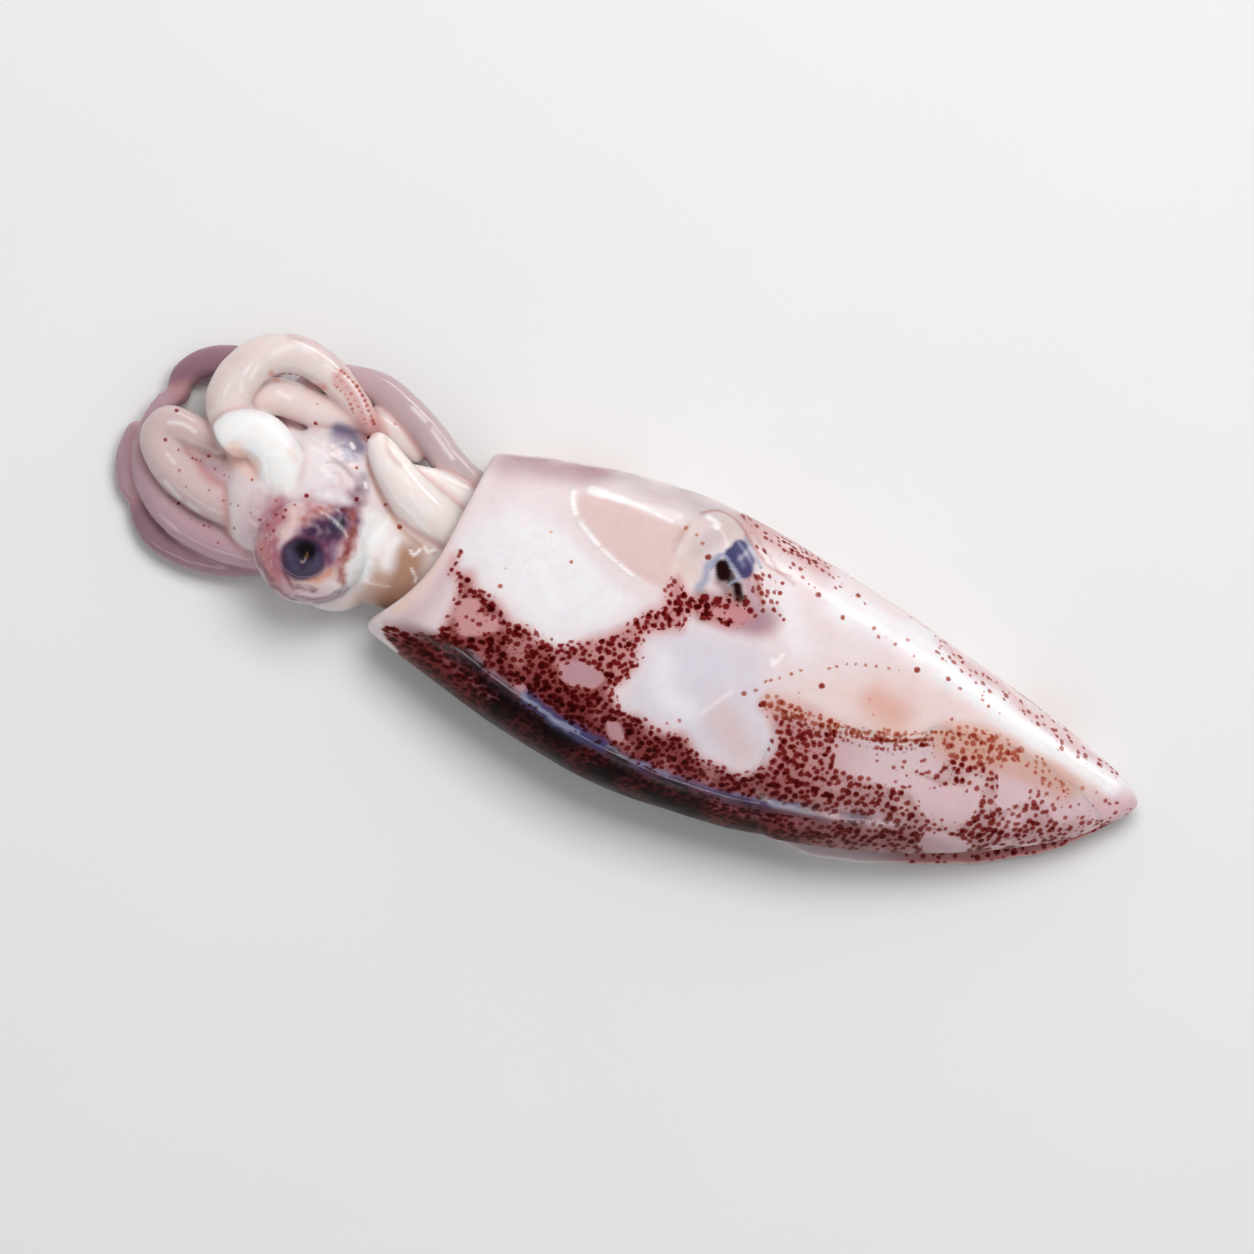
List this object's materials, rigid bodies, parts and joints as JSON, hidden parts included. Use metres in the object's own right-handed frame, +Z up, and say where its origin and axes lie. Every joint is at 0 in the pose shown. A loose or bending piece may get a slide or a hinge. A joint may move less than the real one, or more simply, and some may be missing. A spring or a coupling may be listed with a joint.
{
  "type": "whole raw squid",
  "caption": "Small whole raw squid lying on its side: tapered mantle with its fins folded flat, head with funnel and two eyes, curled arms and tentacles.",
  "frame": {"origin": "middle of the footprint, on the surface that the squid lies on", "axes": "+X from the arms to the tail; -Y towards the squid's back; +Z up, towards its right side"},
  "size_m": [0.1418, 0.042, 0.0223],
  "materials": {
    "mantle_skin": "wet, glossy, translucent, creamy white flesh under lilac skin with maroon spots",
    "head_flesh": "wet, glossy, translucent ivory flesh",
    "eye": "wet, very glossy, pink and white round a slate blue pupil"
  },
  "bodies": {
    "root": {"mantle": "mantle_skin", "head_and_arms": "head_flesh", "eye_right": "eye", "eye_left": "eye"}
  },
  "joints": []
}
